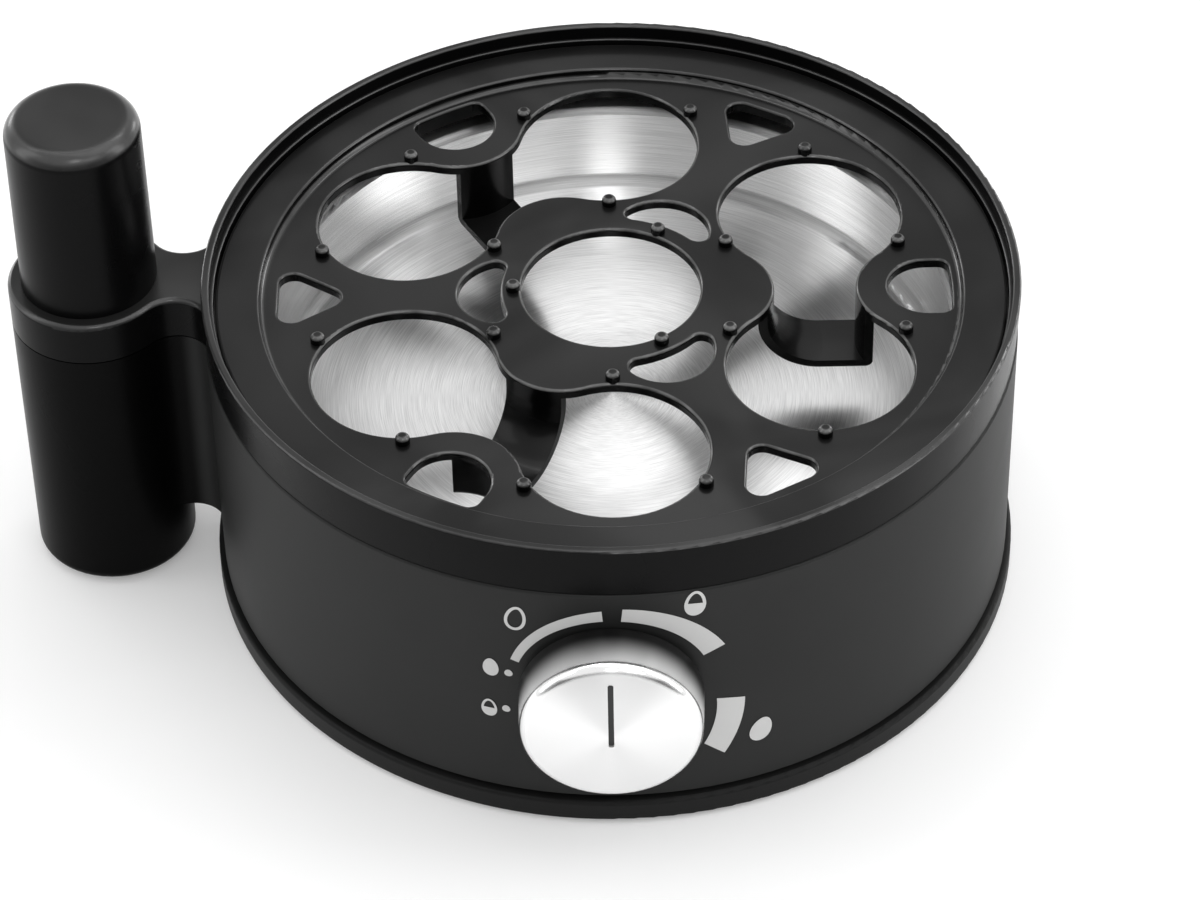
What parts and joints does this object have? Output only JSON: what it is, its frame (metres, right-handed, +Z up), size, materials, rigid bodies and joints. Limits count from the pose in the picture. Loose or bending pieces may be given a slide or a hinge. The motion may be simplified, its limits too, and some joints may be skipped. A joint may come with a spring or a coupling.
{
  "type": "egg cooker",
  "caption": "Round electric egg cooker with a lift-off carrier ring and side grip, a perforated egg tray, a brushed steel heating pan and a chrome dial on the front.",
  "frame": {"origin": "on the table, under the axis of the round body", "axes": "+Z up along the body's axis, the dial faces -Y, the side grip is towards -X"},
  "size_m": [0.2242, 0.1953, 0.1217],
  "materials": {
    "black_body": "fine satin",
    "black_collar": "satin",
    "black_tray": "semi-gloss",
    "brushed_pan": "concentric brushing",
    "chrome_dial": "polished",
    "black_inlay": "matt",
    "rubber": "matt",
    "silicone": "matt",
    "cast_aluminium": "as cast",
    "steel": "zinc plated",
    "brass": "plain",
    "phenolic": "matt",
    "fuse_sleeve": "matt",
    "terminal_plastic": "matt",
    "light_print": "printed"
  },
  "bodies": {
    "base": {"body_shell": "black_body", "base_plate": "black_body", "base_screws": "steel", "rubber_feet": "rubber", "heating_pan": "brushed_pan", "pan_seal": "silicone", "heat_spreader": "cast_aluminium", "heating_element": "steel", "element_terminals": "brass", "thermostat": "phenolic", "thermostat_bracket": "steel", "thermal_fuse": "fuse_sleeve", "terminal_block": "terminal_plastic", "buzzer": "phenolic", "control_switch": "phenolic", "switch_nut": "steel", "cord_gland": "black_body"},
    "carrier": {"carrier_ring": "black_collar", "grip_post": "black_collar", "grip_screw": "steel"},
    "tray": {"egg_tray": "black_tray"},
    "dial": {"control_shaft": "steel", "knob_hub": "black_inlay", "knob_cap": "chrome_dial", "knob_pointer": "black_inlay"}
  },
  "joints": [
    {"name": "carrier_lift", "type": "slide", "parent": "base", "child": "carrier", "axis": [0, 0, 1], "range_m": [0, 0.08]},
    {"name": "tray_lift", "type": "slide", "parent": "carrier", "child": "tray", "axis": [0, 0, 1], "range_m": [0, 0.05]},
    {"name": "dial_turn", "type": "hinge", "parent": "base", "child": "dial", "pos_m": [0, -0.0904, 0.0389], "axis": [0, 1, 0], "range_deg": [-135, 135]}
  ]
}
